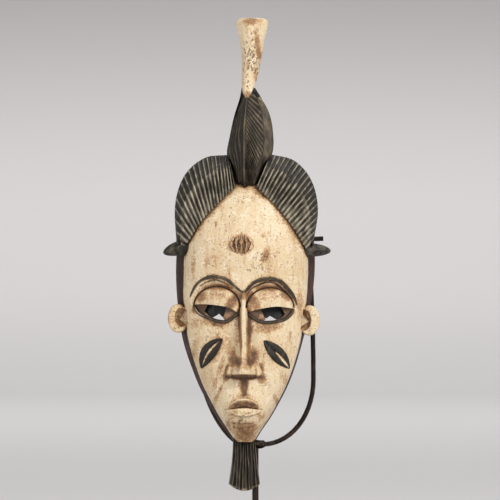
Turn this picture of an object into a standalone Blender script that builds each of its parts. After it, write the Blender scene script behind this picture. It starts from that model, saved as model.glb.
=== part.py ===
"""A carved wooden face mask with a tall crest, resting on its steel display stand.

Metres, +Z up. The face looks along -Y and the origin is the middle of the stand's underside.
The mask is one piece of wood. Its free carving is written in shares of its own height, where
MASK_HEIGHT is 237 shares, so that each number of a carved form is a millimetre on this mask.
A carved point is (across, depth, height): across from the middle of the face to the viewer's
right, depth forward from the flat back rim, height from the tip of the beard.
"""
import math

import bmesh
import bpy
from mathutils import Vector

# Mask
MASK_HEIGHT = 0.237
SHELL_WALL = 0.0045
MASK_ASIDE = 0.005

# Stand
BASE_WIDTH = 0.090
BASE_DEPTH = 0.074
BASE_HEIGHT = 0.006
BASE_EDGE = 0.0008
UPRIGHT_DIAMETER = 0.0032
ARM_DIAMETER = 0.0024
BEARD_CLEARANCE = 0.028
REACH_RIGHT = 0.0292
REACH_LEFT = 0.0275
RUN_RIGHT = 0.0040
RUN_LEFT = 0.0065
ARM_CLOSING = 0.0026
BAR_OVERHANG = 0.0076
BAR_SLOPE = 0.03
ROUNDNESS_RIGHT = 2.0
ROUNDNESS_LEFT = 1.55
BEARD_GAP = 0.0006
GAP = 0.0003

# Places that the sizes above fix
SHARE = MASK_HEIGHT / 237
BEARD_TIP = BASE_HEIGHT + BEARD_CLEARANCE
ARM_RADIUS = ARM_DIAMETER / 2
UPRIGHT_RADIUS = UPRIGHT_DIAMETER / 2
BEARD_BACK_SHARE = 5.2
RIM_PLANE = BEARD_BACK_SHARE * SHARE - UPRIGHT_RADIUS - BEARD_GAP
CHIN_SHARE = 24.6
CHIN_HEIGHT = BEARD_TIP + CHIN_SHARE * SHARE
CRADLE_HEIGHT = CHIN_HEIGHT - GAP - ARM_RADIUS
FOREHEAD_SHARE = 165
BEND_RIGHT = BEARD_TIP + 55.5 * SHARE
BEND_LEFT = BEARD_TIP + 61.0 * SHARE
BAR_HEIGHT = BEARD_TIP + 125.5 * SHARE
BAR_PLANE = RIM_PLANE + GAP + ARM_RADIUS
LEAN_START = UPRIGHT_RADIUS + 1 * SHARE
LEAN_END = UPRIGHT_RADIUS + 7 * SHARE

# Outline of the rim and of the painted face, from the chin up to where the hair hides them
RIM_LEFT = [(24, 5.7), (30, 10.1), (38, 15.6), (46, 20.0), (55, 24.4), (75, 31.3), (95, 34.2),
            (112, 34.9), (128, 33.8), (142, 31.0), (153, 25.0), (160, 17.5), (165, 7.0)]
RIM_RIGHT = [(24, 4.6), (30, 8.2), (38, 13.6), (55, 22.4), (75, 28.8), (95, 33.2), (112, 34.9),
             (128, 34.2), (142, 31.6), (153, 25.4), (160, 17.5), (165, 7.0)]
WALL_LEAN_LEFT = [(24, 1.4), (38, 2.2), (55, 2.4), (75, 3.0), (95, 3.4), (112, 4.3), (165, 3.6)]
WALL_LEAN_RIGHT = [(24, 0.7), (55, 1.1), (75, 1.3), (95, 2.8), (112, 3.6), (165, 3.4)]
WALL_DEPTH = [(24, 6.0), (45, 7.5), (75, 9.0), (165, 9.0)]
FACE_PROFILE = [(24, 12.5), (30, 17.5), (37, 20.5), (50, 22.5), (70, 24.5), (90, 26.0), (108, 28.2),
                (122, 29.6), (136, 28.2), (146, 25.0), (153, 21.5), (160, 16.5), (165, 12.0)]

# Pairs on the face. Lines run through (across, height) points.
SIDES = {"left": -1, "right": 1}
UPPER_LID_EDGE = {"left": [(-26.0, 93.6), (-19.0, 93.7), (-8.9, 92.3), (-3.6, 89.5)],
                  "right": [(24.2, 91.5), (15.5, 92.6), (6.4, 91.2), (1.0, 89.5)]}
LOWER_LID_EDGE = {"left": [(-26.0, 93.2), (-21.6, 88.3), (-10.6, 84.9), (-3.6, 89.1)],
                  "right": [(24.2, 91.1), (19.6, 86.1), (8.6, 84.7), (1.0, 89.1)]}
BROW_LINE = {"left": [(-27.8, 97.2), (-23.6, 104.2), (-15.8, 107.4), (-7.6, 104.8), (-1.2, 99.6)],
             "right": [(0.4, 99.0), (4.6, 104.1), (12.4, 106.2), (20.6, 101.9), (25.8, 93.4)]}
# Domed lid: across and height of its middle, half width, height above and below its middle
LID_DOME = {"left": (-14.2, 92.4, 11.5, 10.1, 6.0), "right": (12.3, 92.0, 11.8, 9.9, 6.0)}
# Where the deep pocket and the hole through it start and end along the eye
POCKET_SPAN = {"left": (0.34, 0.64), "right": (0.25, 0.61)}
HOLE_SPAN = {"left": (0.49, 0.68), "right": (0.46, 0.65)}
# Leaf scar: its two tips, half width, bow to the side
LEAF_SCAR = {"left": ((-11.4, 76.5), (-22.1, 61.4), 3.9, -1.8),
             "right": ((9.1, 75.6), (22.2, 61.4), 3.7, 0.5)}
# Ear, measured away from the face: outline and bowl as (across, height, half width, half height),
# then the top, tip and foot of the wedge before it
EAR_OUTLINE = {"left": (33.6, 86.5, 5.5, 7.25), "right": (31.9, 85.5, 5.6, 7.7)}
EAR_BOWL = {"left": (31.9, 87.0, 3.6, 4.7), "right": (29.4, 85.6, 3.6, 5.2)}
EAR_WEDGE = {"left": ((29.6, 91.4), (33.0, 86.2), (28.0, 81.8)),
             "right": ((28.2, 89.2), (31.8, 85.0), (27.2, 81.8))}
# Tuft of hair: across and height of its tip, then top and bottom of its root
TUFT = {"left": (-41.2, 119.6, 126.4, 118.0), "right": (42.8, 120.4, 124.6, 117.2)}

# Upright scars of the forehead: across and half height of each
KELOIDS = ((-6.2, 3.9), (-4.2, 4.8), (-2.0, 5.6), (0.2, 4.8), (2.3, 3.9))
KELOID_HEIGHT = 123.6
KELOID_HALF_WIDTH = 1.15


def through(points, at):
    """Read a smooth curve of (key, value) points at one key."""
    at = min(max(at, points[0][0]), points[-1][0])
    last = len(points) - 2
    index = 0
    while index < last and at > points[index + 1][0]:
        index += 1
    (x0, y0), (x1, y1) = points[index], points[index + 1]
    slopes = []
    for middle in (index, index + 1):
        before = points[max(middle - 1, 0)]
        after = points[min(middle + 1, len(points) - 1)]
        slopes.append((after[1] - before[1]) / (after[0] - before[0]))
    span = x1 - x0
    t = (at - x0) / span
    bend_0 = t * (1 - t) ** 2 * slopes[0] * span
    bend_1 = t * t * (t - 1) * slopes[1] * span
    return y0 * (1 + 2 * t) * (1 - t) ** 2 + y1 * t * t * (3 - 2 * t) + bend_0 + bend_1


def along(points, t):
    """Read a smooth line through equally keyed (across, height) points, t from 0 to 1."""
    key = t * (len(points) - 1)
    across = through([(i, p[0]) for i, p in enumerate(points)], key)
    height = through([(i, p[1]) for i, p in enumerate(points)], key)
    return Vector((across, height))


def steps(count):
    """Fractions from 0 to 1 in equal steps."""
    return [i / count for i in range(count + 1)]


def ease(low, high, value):
    """Rise smoothly from 0 at low to 1 at high."""
    t = min(max((value - low) / (high - low), 0), 1)
    return t * t * (3 - 2 * t)


def rim_sides(height):
    """Left and right edge of the rim."""
    return -through(RIM_LEFT, height), through(RIM_RIGHT, height)


def face_sides(height):
    """Left and right edge of the painted face, in front of the leaning walls."""
    left, right = rim_sides(height)
    return left + through(WALL_LEAN_LEFT, height), right - through(WALL_LEAN_RIGHT, height)


def relief(across, height):
    """Soft swellings and hollows of the face: eye sockets, muzzle and cheeks."""
    depth = 0
    for middle in (-15.0, 12.6):
        reach = math.hypot((across - middle) / 13.5, (height - 96) / 11.5)
        depth -= 2.0 * (1 - ease(0.55, 1.0, reach)) * ease(74, 92, height)
    depth += 1.8 * math.exp(-(((across + 0.7) / 11) ** 2) - ((height - 42) / 9) ** 2)
    return depth


def face_depth(across, height):
    """Depth of the smooth face at a point."""
    left, right = face_sides(height)
    middle, half = (left + right) / 2, (right - left) / 2
    share = min(abs(across - middle) / half, 1)
    wall = through(WALL_DEPTH, height)
    dome = (through(FACE_PROFILE, height) - wall) * (1 - share * share) ** 0.46
    return wall + dome + relief(across, height) * (1 - share ** 6)


def place(across, depth, height):
    """A carved point in the world."""
    return Vector((across * SHARE - MASK_ASIDE, RIM_PLANE - depth * SHARE, BEARD_TIP + height * SHARE))


def paint(name, colour, roughness, metallic=0.0):
    """A plain material."""
    material = bpy.data.materials.new(name)
    material.use_nodes = True
    shader = material.node_tree.nodes["Principled BSDF"]
    shader.inputs["Base Color"].default_value = (*colour, 1)
    shader.inputs["Roughness"].default_value = roughness
    shader.inputs["Metallic"].default_value = metallic
    return material


def skin(name, rings):
    """A closed solid through equal rings of world points, capped at both ends."""
    form = bmesh.new()
    loops = [[form.verts.new(point) for point in ring] for ring in rings]
    for first, second in zip(loops, loops[1:]):
        for i in range(len(first)):
            j = (i + 1) % len(first)
            form.faces.new((first[i], first[j], second[j], second[i]))
    for loop in (loops[0], loops[-1]):
        hub = form.verts.new(sum((corner.co for corner in loop), Vector()) / len(loop))
        for i in range(len(loop)):
            form.faces.new((loop[i], loop[(i + 1) % len(loop)], hub))
    bmesh.ops.triangulate(form, faces=form.faces)
    bmesh.ops.recalc_face_normals(form, faces=form.faces)
    if form.calc_volume(signed=True) < 0:
        bmesh.ops.reverse_faces(form, faces=form.faces)
    mesh = bpy.data.meshes.new(name)
    form.to_mesh(mesh)
    form.free()
    solid = bpy.data.objects.new(name, mesh)
    bpy.context.collection.objects.link(solid)
    return solid


def carved(name, rings):
    """A form made of carved points, kept out of the finished model until it is joined."""
    form = skin(name, [[place(*point) for point in ring] for ring in rings])
    form.display_type = "WIRE"
    form.hide_render = True
    return form


def face_block(columns=18, rows=28):
    """The face and its walls as a solid block with a flat back."""
    rings = []
    for t in steps(rows):
        height = CHIN_SHARE + t * (FOREHEAD_SHARE - CHIN_SHARE)
        left, right = face_sides(height)
        rim_left, rim_right = rim_sides(height)
        middle, half = (left + right) / 2, (right - left) / 2
        ring = [(rim_left, -1, height), (rim_left, 0.2, height)]
        for turn in steps(columns):
            across = middle - half * math.cos(math.pi * turn)
            ring.append((across, face_depth(across, height), height))
        ring += [(rim_right, 0.2, height), (rim_right, -1, height)]
        rings.append(ring)
    return carved("face_block", rings)


def hollow(columns=10, rows=11, bottom=31, top=157):
    """The space behind the face, a wall's thickness inside it."""
    wall = SHELL_WALL / SHARE
    rings = []
    for t in steps(rows):
        height = bottom + t * (top - bottom)
        left, right = face_sides(height)
        end = 1 - 0.45 * abs(2 * t - 1) ** 6
        middle, half = (left + right) / 2, ((right - left) / 2 - 0.55 * wall) * end
        floor = through(FACE_PROFILE, height) - wall - 2
        ring = [(middle - half, -3, height)]
        for turn in steps(columns):
            angle = math.pi * turn
            ring.append((middle - half * math.cos(angle), floor * end * math.sin(angle) ** 0.8, height))
        ring.append((middle + half, -3, height))
        rings.append(ring)
    return carved("hollow", rings)


def lobe_lines(side, count):
    """Plan of one hair lobe: for each ridge or groove, its point on the hairline and on the rim."""
    if side < 0:
        hairline = [(-5.2, 152.0), (-14.0, 143.6), (-22.6, 134.0), (-29.6, 122.6)]
        outline = [(-8.4, 168.6), (-20.5, 167.0), (-30.6, 158.2), (-35.3, 143.4), (-34.6, 124.0)]
        sweep = 1.5
    else:
        hairline = [(5.6, 152.0), (14.6, 143.4), (23.4, 132.4), (31.0, 119.6)]
        outline = [(12.6, 168.9), (24.6, 165.6), (33.2, 155.6), (36.4, 141.0), (33.9, 123.4)]
        sweep = 1.0
    lines = []
    for t in steps(count):
        lines.append((along(hairline, t), along(outline, t ** sweep)))
    return lines


def hair_lobe(name, side, ridges):
    """One rounded lobe of combed hair, with a ridge between each two grooves."""
    rings = []
    for index, (inner, outer) in enumerate(lobe_lines(side, 2 * ridges)):
        groove = 0.8 if index % 2 else 0.0
        foot = face_depth(inner.x, inner.y)
        crown = foot + 2.6
        ring = [(inner.x, -1, inner.y), (inner.x, foot + 1.6 - groove / 2, inner.y)]
        for share, depth in ((0.07, crown), (0.36, crown + 0.6), (0.66, crown - 1.2), (0.88, 15.5)):
            spot = inner.lerp(outer, share)
            ring.append((spot.x, depth - groove, spot.y))
        edge = inner.lerp(outer, 1 - groove * 0.04)
        ring += [(edge.x, 10.5 - groove, edge.y), (edge.x, -1, edge.y)]
        rings.append(ring)
    return carved(name, rings)


def tuft(side):
    """A pointed tuft of hair that stands out below a lobe."""
    tip, tip_height, top, bottom = TUFT[side]
    root = SIDES[side] * 27
    rings = []
    for t in steps(7):
        swell = math.sqrt(1 - t ** 2.2) if t < 1 else 0.06
        across = root + t * (tip - root)
        middle = (top + bottom) / 2 + (tip_height - (top + bottom) / 2) * t * t
        ring = []
        for turn in range(8):
            angle = math.tau * turn / 8
            ring.append((across, 11.5 + 5.0 * swell * math.cos(angle),
                         middle + (top - bottom) / 2 * swell * math.sin(angle)))
        rings.append(ring)
    return carved(f"tuft_{side}", rings)


def crest(grooves=14):
    """A leaf-shaped crest with a keel down its front and slanting grooves on both faces."""
    left_side = [(152, 5.4), (160, 6.4), (168.5, 9.2), (176, 8.2), (188, 5.6), (196, 3.1), (201, 2.0)]
    right_side = [(152, 5.8), (162, 9.8), (170, 13.7), (182, 13.6), (190, 11.7), (196, 8.6), (202, 4.9)]
    keel_front = [(152, 22.5), (158, 28.0), (172, 30.5), (186, 27.5), (196, 21.0), (202, 15.5)]
    keel_aside = [(152, -0.5), (180, -0.5), (202, 1.2)]
    rings = []
    for index, t in enumerate(steps(2 * grooves)):
        keel = 157.4 + t * (201.5 - 157.4)
        side = 153.0 + (0.15 * t + 0.85 * t ** 2.6) * (202.0 - 153.0)
        slant = keel - side
        groove = 0.75 if index % 2 and 0 < t < 1 else 0.0
        front, axis = through(keel_front, keel), through(keel_aside, keel)
        left, right = through(left_side, side), through(right_side, side)
        back = 6 + 6 * ease(165, 200, side)
        edge_right = axis + (right - axis) * 0.68
        rings.append([
            (axis, front, keel),
            (axis + 0.2 * (right - axis), front - 1.4 - groove, keel - 0.3 * slant),
            (axis + 0.5 * (right - axis), front - 3.8 - groove, keel - 0.75 * slant),
            (edge_right, front - 5.6, side),
            (right, (front - 5.6 + back) / 2, side),
            (edge_right, back, side),
            (-0.7 * left, back, side),
            (-left, (front - 5.6 + back) / 2, side),
            (axis - 0.55 * (left + axis), front - 4.6 - groove, keel - 0.7 * slant)])
    foot = [(x * 0.7, max(d - 5, 6), 151.8) for x, d, _ in rings[0]]
    return carved("crest", [foot] + rings)


def horn(sides=12):
    """The flared horn, whose foot runs down to a point on the front of the crest."""
    radius = [(202, 2.9), (204.5, 3.6), (215.5, 4.8), (226, 6.3), (232, 7.9), (234.4, 8.3)]
    axis = [(202, 1.2), (204.5, 1.7), (215.5, 3.0), (226, 3.3), (234.4, 3.3)]
    rings = [(0.8, 19.2, 196.6, 0.5), (0.9, 17.6, 199.0, 2.0), (1.2, 15.4, 202.0, 2.9)]
    for height in (205, 209, 216, 223, 228.5, 232.4, 234.4):
        rings.append((through(axis, height), 14, height, through(radius, height)))
    rings += [(3.3, 14, 236.2, 5.6), (3.3, 14, 237.0, 1.6)]
    return carved("horn", [
        [(across + wide * math.cos(math.tau * turn / sides),
          depth + wide * math.sin(math.tau * turn / sides), height) for turn in range(sides)]
        for across, depth, height, wide in rings])


def beard(grooves=8):
    """The short grooved beard that hangs below the chin and flares to its end."""
    left_side = [(1, -8.3), (3, -8.4), (14, -6.9), (CHIN_SHARE + 4, -6.0)]
    right_side = [(1, 7.2), (3, 7.3), (14, 6.0), (CHIN_SHARE + 4, 4.6)]
    rings = []
    for height in (0, 5, 14, CHIN_SHARE + 4):
        left, right = through(left_side, height), through(right_side, height)
        back, front = BEARD_BACK_SHARE, 9.6 + 0.04 * height
        corner = 3.2 if height == 0 else 0
        ring = [(left, back, height + corner), (left, back + 1.6, height + corner)]
        for index, t in enumerate(steps(2 * grooves)):
            across = left + (0.02 + 0.96 * t) * (right - left)
            groove = 0.8 if index % 2 else 0.0
            bow = 1.4 * math.sin(math.pi * t) ** 0.6
            ring.append((across, front - 1.4 + bow - groove, height + corner * (2 * t - 1) ** 2))
        ring += [(right, back + 1.6, height + corner), (right, back, height + corner)]
        rings.append(ring)
    return carved("beard", rings)


def raised(name, line, half_width, profile, count, buried=2.5):
    """A band that follows a line on the face, with a (share across, height above) profile."""
    rings = []
    for t in steps(count):
        spot = line(t)
        onward = line(min(t + 0.01, 1)) - line(max(t - 0.01, 0))
        sideways = Vector((-onward.y, onward.x)).normalized() * max(half_width(t), 0.12)
        fade = min(half_width(t) / half_width(0.5), 1)
        points = [spot + sideways * share for share, _ in profile]
        ring = [(p.x, face_depth(p.x, p.y) + lift * fade, p.y) for p, (_, lift) in zip(points, profile)]
        ends = (points[-1], points[0])
        ring += [(p.x, face_depth(p.x, p.y) - buried, p.y) for p in ends]
        rings.append(ring)
    return carved(name, rings)


def brow(side):
    """A raised brow with a groove along its middle."""
    profile = ((-1, -0.4), (-0.55, 0.7), (0, 0.1), (0.55, 0.8), (1, -0.4))
    return raised(f"brow_{side}", lambda t: along(BROW_LINE[side], t),
                  lambda t: 0.5 + 0.9 * math.sin(math.pi * t), profile, 9)


def leaf_scar(side):
    """A leaf-shaped cheek scar with a slit along its middle, bowed to one side."""
    profile = ((-1, -0.4), (-0.56, 1.0), (0, -0.2), (0.56, 1.0), (1, -0.4))
    start, end, half, bow = LEAF_SCAR[side]
    first, last = Vector(start), Vector(end)
    aside = (last - first).orthogonal().normalized() * bow
    return raised(f"scar_{side}", lambda t: first.lerp(last, t) + aside * math.sin(math.pi * t),
                  lambda t: 0.1 + half * math.sin(math.pi * t) ** 0.75, profile, 8)


def keloids():
    """Upright raised scars in the middle of the forehead, the outer ones bowed outwards."""
    forms = []
    for index, (across, half) in enumerate(KELOIDS):
        foot, bow = 0.7 * across - 0.6, 0.5 * (across + 2.0)

        def line(t, foot=foot, bow=bow, half=half):
            return Vector((foot + bow * math.sin(math.pi * t), KELOID_HEIGHT + half * (2 * t - 1)))

        forms.append(raised(f"keloid_{index}", line,
                            lambda t: 0.1 + KELOID_HALF_WIDTH * math.sin(math.pi * t) ** 0.7,
                            ((-1, -0.4), (0, 1.0), (1, -0.4)), 4))
    return forms


def lips():
    """Closed lips: a full upper and lower lip with the parting between them."""
    profile = ((-1, -0.6), (-0.84, 1.3), (-0.4, 1.8), (0, 0.2), (0.4, 1.7), (0.85, 0.9), (1, -0.6))
    return raised("lips", lambda t: Vector((-10.2 + 19.0 * t, 41.7)),
                  lambda t: 0.2 + 4.7 * math.sin(math.pi * t) ** 0.8, profile, 10)


def nose():
    """A long thin nose: a narrow ridge, flanks that sink into the face, and low spread wings."""
    ridge = [(57.6, 30.3), (59.2, 31.7), (62, 31.9), (75, 31.2), (90, 30.0), (97, 28.7), (100, 26.8)]
    top_half = [(57.6, 2.2), (59.5, 2.2), (62, 1.6), (66, 1.25), (75, 0.95), (100, 0.8)]
    foot_half = [(57.6, 8.5), (59, 9.1), (61.5, 8.9), (64.5, 7.4), (69, 5.2), (77, 3.4), (90, 2.4),
                 (100, 1.5)]
    axis = -0.8
    rings = []
    for height in (57.6, 58.6, 60.2, 61.8, 63.4, 65.4, 69, 75, 83, 91, 96, 100):
        front, top, foot = (through(line, height) for line in (ridge, top_half, foot_half))
        wing = 2.5 * ease(65.0, 61.8, height)
        flank = []
        for share in (-0.12, 0.0, 0.16, 0.36, 0.66, 1.0):
            across = foot + (top - foot) * share
            rise = max(share, 0) ** 1.7
            lump = wing * math.sin(math.pi * min(max(share, 0) / 0.62, 1)) ** 0.7
            flank.append((across, rise, lump))
        ring = []
        for side in (-1, 1):
            half = []
            for across, rise, lump in flank:
                base = face_depth(axis + side * across, height)
                half.append((axis + side * across, base + max(rise * (front - base), lump), height))
            half[0] = (half[0][0], half[0][1] - 3, height)
            ring += half if side < 0 else half[::-1]
        rings.append(ring)
    return carved("nose", rings)


def lid(side):
    """The domed upper lid of one eye."""
    across, height, wide, above, below = LID_DOME[side]
    rings = []
    for bow in (0.04, 0.45, 0.78, 1.0):
        ring = []
        for turn in range(16):
            angle = math.tau * turn / 16
            x = across + wide * bow * math.cos(angle)
            z = height + (above if angle < math.pi else below) * bow * math.sin(angle)
            ring.append((x, face_depth(x, z) + 4.6 * math.sqrt(max(1 - bow * bow, 0)) - 0.2, z))
        rings.append(ring)
    rings.append([(x, d - 3, z) for x, d, z in rings[-1]])
    return carved(f"lid_{side}", rings)


def eye_opening(side):
    """Cuts the flat of the eye below the edge of the upper lid."""
    rings = []
    for t in steps(8):
        top, low = along(UPPER_LID_EDGE[side], t), along(LOWER_LID_EDGE[side], t)
        rings.append([(top.x, face_depth(top.x, top.y) + 0.6, top.y),
                      (low.x, face_depth(low.x, low.y) - 0.5, low.y),
                      (low.x, 60, low.y), (top.x, 60, top.y)])
    return carved(f"eye_{side}", rings)


def pocket(side):
    """Cuts the deep pocket under the upper lid, which stops inside the shell."""
    start, end = POCKET_SPAN[side]
    rings = []
    for t in steps(5):
        share = start + t * (end - start)
        top, low = along(UPPER_LID_EDGE[side], share), along(LOWER_LID_EDGE[side], share)
        sill = top.lerp(low, 0.62 + 0.25 * math.sin(math.pi * t))
        floor = face_depth(top.x, top.y) - 2.8
        rings.append([(top.x, floor, top.y - 0.2), (sill.x, floor, sill.y), (sill.x, 60, sill.y),
                      (top.x, 60, top.y - 0.2)])
    return carved(f"pocket_{side}", rings)


def pierced(side):
    """Cuts the small three-sided hole that breaks through the foot of the pocket."""
    start, end = HOLE_SPAN[side]
    rings = []
    for t in steps(4):
        low = along(LOWER_LID_EDGE[side], start + t * (end - start)) + Vector((0, 0.9))
        top = low.y + 0.3 + 2.7 * (1 - abs(2 * t - 1))
        rings.append([(low.x, -3, top), (low.x, -3, low.y), (low.x, 60, low.y), (low.x, 60, top)])
    return carved(f"pierced_{side}", rings)


def lower_rim(side):
    """The raised rim of the lower lid."""
    return raised(f"lower_rim_{side}", lambda t: along(LOWER_LID_EDGE[side], t) + Vector((0, -0.3)),
                  lambda t: 1.0, ((-1, -0.4), (0, 0.9), (1, -0.5)), 8)


def philtrum():
    """Cuts the groove between the nose and the upper lip."""
    rings = []
    for t in steps(4):
        height = 57 - 9 * t
        half = 2.3 - 1.1 * t
        floor = face_depth(-0.5, height)
        left, right = -0.5 - half, -0.5 + half
        rings.append([(left, floor + 0.5, height), (-0.5, floor - 0.9, height),
                      (right, floor + 0.5, height), (right, 60, height), (left, 60, height)])
    return carved("philtrum", rings)


def ear_disc(side, oval, grow, depth):
    """One oval section of an ear at a depth."""
    across, height, wide, tall = oval
    ring = []
    for turn in range(16):
        angle = math.tau * turn / 16
        ring.append((SIDES[side] * (across + wide * grow * math.cos(angle)), depth,
                     height + tall * grow * math.sin(angle)))
    return ring


def ear(side):
    """A small round ear, flat to the front."""
    sections = ((0.8, 3.8), (1.0, 5.4), (1.0, 10.6), (0.9, 11.8))
    return carved(f"ear_{side}", [ear_disc(side, EAR_OUTLINE[side], *section) for section in sections])


def ear_bowl(side):
    """Cuts the bowl of an ear, open to the face."""
    sections = ((0.8, 8.8), (1.1, 14))
    return carved(f"bowl_{side}", [ear_disc(side, EAR_BOWL[side], *section) for section in sections])


def ear_wedge(side):
    """The three-sided wedge that stands in the bowl of an ear."""
    (top_x, top_z), (tip_x, tip_z), (low_x, low_z) = EAR_WEDGE[side]
    corners = ((top_x - 2, top_z), (top_x, top_z), (tip_x, tip_z), (low_x, low_z), (low_x - 2, low_z))
    return carved(f"wedge_{side}", [[(SIDES[side] * x, depth, z) for x, z in corners]
                                    for depth in (6, 11.2)])


def back_cut():
    """Cuts every form flat at the back rim."""
    corners = ((-60, -20), (60, -20), (60, 260), (-60, 260))
    return carved("back_cut", [[(x, depth, z) for x, z in corners] for depth in (-6, 0)])


def boolean(solid, tool, operation):
    """Join a closed form to the mask, or cut it away. The exact solver leaves edges open here."""
    step = solid.modifiers.new(tool.name, "BOOLEAN")
    step.object = tool
    step.operation = operation
    step.solver = "MANIFOLD"


def carve_mask():
    """The whole mask: forms joined to the face, then the hollow and the eyes cut."""
    mask = face_block()
    mask.name = mask.data.name = "mask"
    mask.display_type = "TEXTURED"
    mask.hide_render = False
    added = [hair_lobe("lobe_left", -1, 19), hair_lobe("lobe_right", 1, 20), crest(), horn(), beard(),
             nose(), lips()]
    cut = [philtrum(), hollow()]
    late = keloids()
    last = []
    for side in SIDES:
        added += [tuft(side), lid(side), brow(side), leaf_scar(side), ear(side)]
        cut += [eye_opening(side), ear_bowl(side)]
        late += [lower_rim(side), ear_wedge(side)]
        last += [pocket(side), pierced(side)]
    for forms, operation in ((added, "UNION"), (cut, "DIFFERENCE"), (late, "UNION"),
                             (last + [back_cut()], "DIFFERENCE")):
        for form in forms:
            boolean(mask, form, operation)
    mask.data.materials.append(paint("painted_wood", (0.72, 0.58, 0.40), 0.6))
    return mask


def rod(name, path, radius, steel, sides=10):
    """A round rod along a path in a plane that nearly holds the X axis and the Z axis."""
    rings = []
    for index, spot in enumerate(path):
        onward = (path[min(index + 1, len(path) - 1)] - path[max(index - 1, 0)]).normalized()
        first = onward.cross(Vector((0, 1, 0))).normalized()
        second = onward.cross(first)
        rings.append([spot + radius * (first * math.cos(math.tau * turn / sides)
                                       + second * math.sin(math.tau * turn / sides))
                      for turn in range(sides)])
    solid = skin(name, rings)
    solid.data.shade_smooth()
    solid.data.set_sharp_from_angle(angle=math.radians(40))
    solid.data.materials.append(steel)


def bar_centre(across):
    """A point on the middle of the crossbar."""
    return Vector((across, BAR_PLANE, BAR_HEIGHT + BAR_SLOPE * across))


def arm(name, side, reach, start, bend, roundness, steel):
    """One arm: out under the chin, back behind the rim, up in a round bend, then to the crossbar."""
    tip = bar_centre(side * (reach - ARM_CLOSING)) - Vector((0, 0, ARM_DIAMETER + GAP))
    spots = [Vector((side * (UPRIGHT_RADIUS + GAP), 0, CRADLE_HEIGHT))]
    for t in steps(14):
        share = math.sin(math.pi / 2 * t)
        across = start + (reach - start) * share
        height = bend - (bend - CRADLE_HEIGHT) * (1 - share ** roundness) ** (1 / roundness)
        spots.append(Vector((side * across, 0, height)))
    for t in steps(6)[1:]:
        across = side * reach + (tip.x - side * reach) * t * t
        spots.append(Vector((across, 0, bend + (tip.z - bend) * t)))
    for spot in spots:
        spot.y = BAR_PLANE * ease(LEAN_START, LEAN_END, abs(spot.x))
    rod(name, spots, ARM_RADIUS, steel)


def stand():
    """Foot plate, upright, two arms and the crossbar at their tips."""
    steel = paint("dark_steel", (0.035, 0.03, 0.028), 0.45, 0.8)
    bpy.ops.mesh.primitive_cube_add(size=1, location=(0, 0, BASE_HEIGHT / 2))
    base = bpy.context.object
    base.name = base.data.name = "base"
    base.scale = (BASE_WIDTH, BASE_DEPTH, BASE_HEIGHT)
    bpy.ops.object.transform_apply(location=False, rotation=False, scale=True)
    edge = base.modifiers.new("edge", "BEVEL")
    edge.width = BASE_EDGE
    edge.segments = 2
    base.data.materials.append(steel)
    foot = Vector((0, 0, BASE_HEIGHT + GAP))
    top = Vector((0, 0, CRADLE_HEIGHT + ARM_RADIUS))
    rod("upright", [foot, top], UPRIGHT_RADIUS, steel, sides=20)
    arm("arm_right", 1, REACH_RIGHT, RUN_RIGHT, BEND_RIGHT, ROUNDNESS_RIGHT, steel)
    arm("arm_left", -1, REACH_LEFT, RUN_LEFT, BEND_LEFT, ROUNDNESS_LEFT, steel)
    left_end = bar_centre(ARM_CLOSING - REACH_LEFT - BAR_OVERHANG)
    right_end = bar_centre(REACH_RIGHT - ARM_CLOSING + BAR_OVERHANG)
    rod("crossbar", [left_end, right_end], ARM_RADIUS, steel)


for leftover in list(bpy.data.objects):
    bpy.data.objects.remove(leftover)
carve_mask()
stand()
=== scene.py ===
"""A small carved and painted wooden face mask with a tall crest, held on its steel stand.

The camera comes first, then the mask in the order of its carving, the marks of age and the painted
shade and highlight on it, the stand, and the room. The mask's free carving is written in millimetres
of the mask itself: a carved point is (across, depth, height), across from the middle of the face to
the viewer's right, depth forward from the flat back rim, and height from the tip of the beard.
"""
import math
from functools import lru_cache

import bpy
import numpy as np
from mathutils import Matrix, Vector, noise
from mathutils.bvhtree import BVHTree


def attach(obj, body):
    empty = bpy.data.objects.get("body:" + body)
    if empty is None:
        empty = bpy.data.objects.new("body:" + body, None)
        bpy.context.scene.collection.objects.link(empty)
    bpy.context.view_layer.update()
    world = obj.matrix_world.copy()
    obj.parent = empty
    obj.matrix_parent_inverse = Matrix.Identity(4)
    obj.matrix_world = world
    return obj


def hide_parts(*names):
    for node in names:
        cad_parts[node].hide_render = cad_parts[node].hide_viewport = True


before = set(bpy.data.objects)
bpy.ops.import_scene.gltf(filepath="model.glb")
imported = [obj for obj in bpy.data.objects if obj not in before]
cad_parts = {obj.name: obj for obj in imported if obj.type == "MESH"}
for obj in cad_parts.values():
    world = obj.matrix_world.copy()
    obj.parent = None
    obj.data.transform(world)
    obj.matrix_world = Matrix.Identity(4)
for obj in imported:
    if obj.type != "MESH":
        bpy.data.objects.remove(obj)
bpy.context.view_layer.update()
bpy.ops.object.select_all(action="DESELECT")

# ---- Camera ----
# A long lens, level and square to the face, so that half a millimetre of the mask is one
# pixel of the picture. The frame ends below the beard, above the foot plate.
PICTURE_WIDTH = 0.250
CAMERA_DISTANCE = 3.00
SENSOR = 36.0
bpy.ops.object.camera_add(location=(-0.0027, -CAMERA_DISTANCE - 0.015, 0.1548),
                          rotation=(math.radians(90), 0, 0))
camera = bpy.context.object
camera.name = "camera"
camera.data.sensor_width = SENSOR
camera.data.lens = SENSOR * CAMERA_DISTANCE / PICTURE_WIDTH
camera.data.clip_end = 20
bpy.context.scene.camera = camera

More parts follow.
